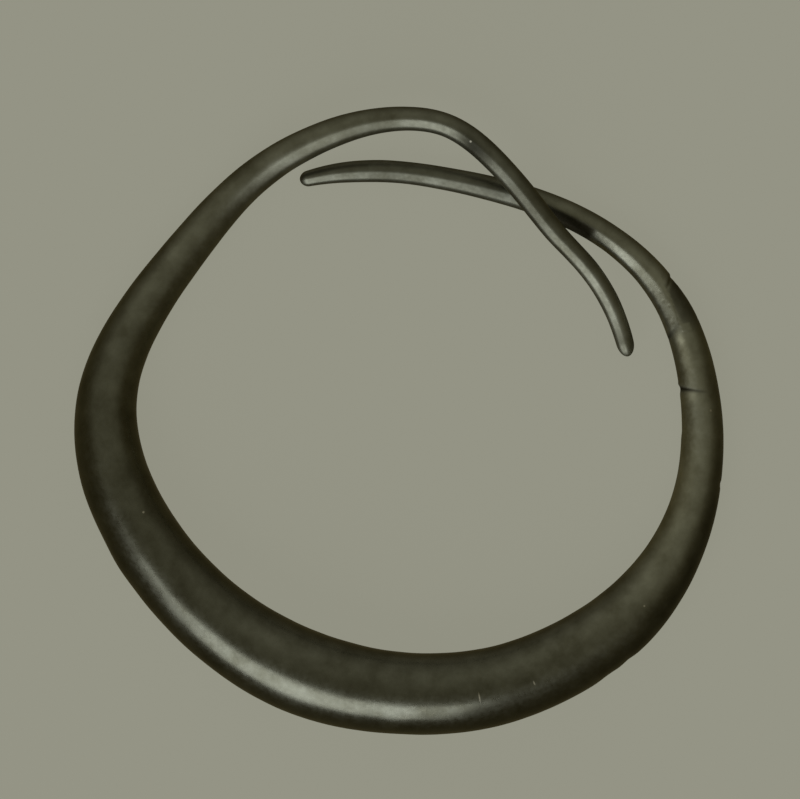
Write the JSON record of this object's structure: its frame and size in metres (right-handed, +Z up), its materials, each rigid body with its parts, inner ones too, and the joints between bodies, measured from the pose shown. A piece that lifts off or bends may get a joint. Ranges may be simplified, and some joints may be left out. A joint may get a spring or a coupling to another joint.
{
  "type": "earring",
  "caption": "Hoop earring: a round metal bar, thick at the keel and drawn out into thin arms that overlap and cross, with blunt rounded tips.",
  "frame": {"origin": "middle of the hoop's width and depth, on the surface that it lies on", "axes": "+X across the hoop to the side of its cracked arm, +Y from the thick keel to the thin crown, +Z up out of the plane of the hoop"},
  "size_m": [0.028, 0.027, 0.0036],
  "materials": {
    "metal": "dark olive-brown skin of age on a copper alloy, smooth with a soft shine, faint lengthwise scratches, dirt in its cracks"
  },
  "bodies": {
    "root": {"hoop": "metal"}
  },
  "joints": []
}
